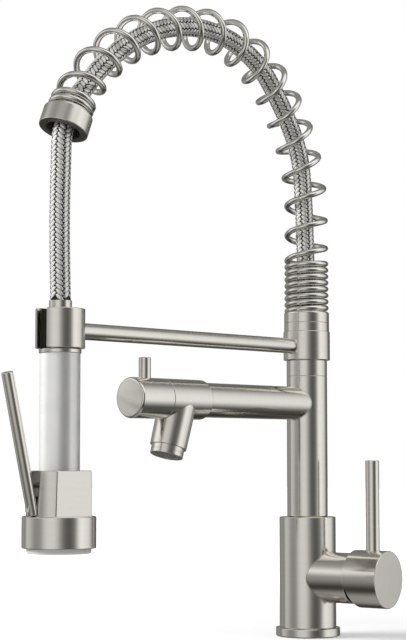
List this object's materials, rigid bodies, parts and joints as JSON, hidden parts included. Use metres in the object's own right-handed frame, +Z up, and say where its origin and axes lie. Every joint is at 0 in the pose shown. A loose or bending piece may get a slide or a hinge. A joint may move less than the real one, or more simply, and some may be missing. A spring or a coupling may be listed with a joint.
{
  "type": "spring pull-down kitchen faucet",
  "caption": "Single-hole kitchen faucet with a slim column, side lever, a straight second spout with its own knob, and an arched open spring that carries a pull-down spray head.",
  "frame": {"origin": "centre of the shank socket's mouth, in the plane of the deck under the flange", "axes": "+Z up along the column; the arm, the pot spout and the spray head lie along -Y; the handle points to +X, turned 9.6 degrees towards +Y"},
  "size_m": [0.1024, 0.3453, 0.4864],
  "materials": {
    "brushed_nickel": "warm brushed nickel",
    "spring_steel": "satin spring wire",
    "braid_steel": "fine metal braid",
    "white_grip": "pearl white",
    "white_face": "white",
    "black_rubber": "soft",
    "black_plastic": "matte",
    "grey_plastic": "matte",
    "grey_rubber": "soft",
    "ceramic_white": "lapped ceramic",
    "bearing_plastic": "smooth bearing plastic",
    "plain_brass": "machined",
    "plain_steel": "plain"
  },
  "bodies": {
    "base": {"valve_barrel": "brushed_nickel", "base_flange": "brushed_nickel", "deck_gasket": "black_rubber", "cartridge_body": "grey_plastic", "cartridge_seals": "black_rubber", "fixed_disc": "ceramic_white", "cartridge_nut": "plain_brass", "column_bush": "bearing_plastic"},
    "stem_carrier": {"cartridge_rotor": "grey_plastic", "stem_pin": "plain_steel"},
    "mixing_disc": {"moving_disc": "ceramic_white"},
    "handle": {"handle_cap": "brushed_nickel", "handle_lever": "brushed_nickel", "handle_screw": "plain_steel", "cartridge_stem": "plain_brass"},
    "column": {"column_tube": "brushed_nickel", "column_spigot": "plain_brass", "column_circlip": "plain_steel", "column_seals": "black_rubber", "column_head": "brushed_nickel", "neck_clip": "plain_steel", "spout_tube": "brushed_nickel", "pot_valve_body": "brushed_nickel", "headwork_body": "plain_brass", "headwork_seat": "ceramic_white", "aerator_ring": "brushed_nickel", "aerator_screen": "grey_plastic", "aerator_washer": "black_rubber"},
    "pot_knob": {"knob_cap": "brushed_nickel", "knob_lever": "brushed_nickel", "knob_screw": "plain_steel", "knob_spindle": "plain_brass", "knob_disc": "ceramic_white"},
    "arm": {"arm_collar": "brushed_nickel", "collar_bush": "bearing_plastic", "collar_ring": "brushed_nickel", "spring_seat": "brushed_nickel", "arch_spring": "spring_steel", "hose_arch": "braid_steel", "hose_tail": "plain_steel", "arm_rod": "brushed_nickel", "dock_ring": "brushed_nickel", "dock_liner": "black_plastic"},
    "hose_end": {"spring_cap": "brushed_nickel", "hose_drop": "braid_steel", "hose_ferrule": "brushed_nickel", "swivel_nut": "plain_brass"},
    "spray_head": {"head_collar": "brushed_nickel", "grip_tube": "white_grip", "inner_tube": "plain_steel", "head_body": "brushed_nickel", "bell_ring": "brushed_nickel", "spray_face": "white_face", "spray_nozzles": "grey_rubber", "bell_seal": "black_rubber", "lever_pin": "plain_steel"},
    "plunger": {"spray_plunger": "plain_steel"},
    "spray_lever": {"spray_lever": "brushed_nickel"}
  },
  "joints": [
    {"name": "handle_turn", "type": "hinge", "parent": "base", "child": "stem_carrier", "pos_m": [0.02662, 0.0045, 0.0468], "axis": [0.986, 0.1668, 0], "range_deg": [-45, 45]},
    {"name": "handle_lift", "type": "hinge", "parent": "stem_carrier", "child": "handle", "pos_m": [0.0355, 0.006, 0.0468], "axis": [-0.1668, 0.986, 0], "range_deg": [0, 15]},
    {"name": "disc_slide", "type": "slide", "parent": "stem_carrier", "child": "mixing_disc", "axis": [0, 0, 1], "range_m": [0, 0.0038]},
    {"name": "column_swivel", "type": "hinge", "parent": "base", "child": "column", "pos_m": [0, 0, 0.086], "axis": [0, 0, 1], "range_deg": [-180, 180]},
    {"name": "knob_turn", "type": "hinge", "parent": "column", "child": "pot_knob", "pos_m": [0, -0.155, 0.1845], "axis": [0, -1, 0], "range_deg": [0, 90]},
    {"name": "arm_swivel", "type": "hinge", "parent": "column", "child": "arm", "pos_m": [0, 0, 0.23], "axis": [0, 0, 1], "range_deg": [-180, 180]},
    {"name": "head_pull", "type": "slide", "parent": "arm", "child": "hose_end", "axis": [0, 0, -1], "range_m": [0, 0.07], "stiffness_N_per_m": 110, "springref_m": -0.1, "deforming": ["arch_spring", "hose_arch"]},
    {"name": "head_turn", "type": "hinge", "parent": "hose_end", "child": "spray_head", "pos_m": [0, -0.26, 0.21], "axis": [0, 0, 1], "continuous": true},
    {"name": "lever_press", "type": "hinge", "parent": "spray_head", "child": "spray_lever", "pos_m": [0, -0.2805, 0.106], "axis": [-1, 0, 0], "range_deg": [0, 12], "stiffness_Nm_per_rad": 0.6, "springref_deg": -11.46},
    {"name": "plunger_slide", "type": "slide", "parent": "spray_head", "child": "plunger", "axis": [0, 1, 0], "range_m": [0, 0.0036]}
  ],
  "couplings": [
    {"joint": "disc_slide", "follows": "handle_lift", "m_per_rad": 0.0144},
    {"joint": "plunger_slide", "follows": "lever_press", "m_per_rad": 0.016}
  ]
}
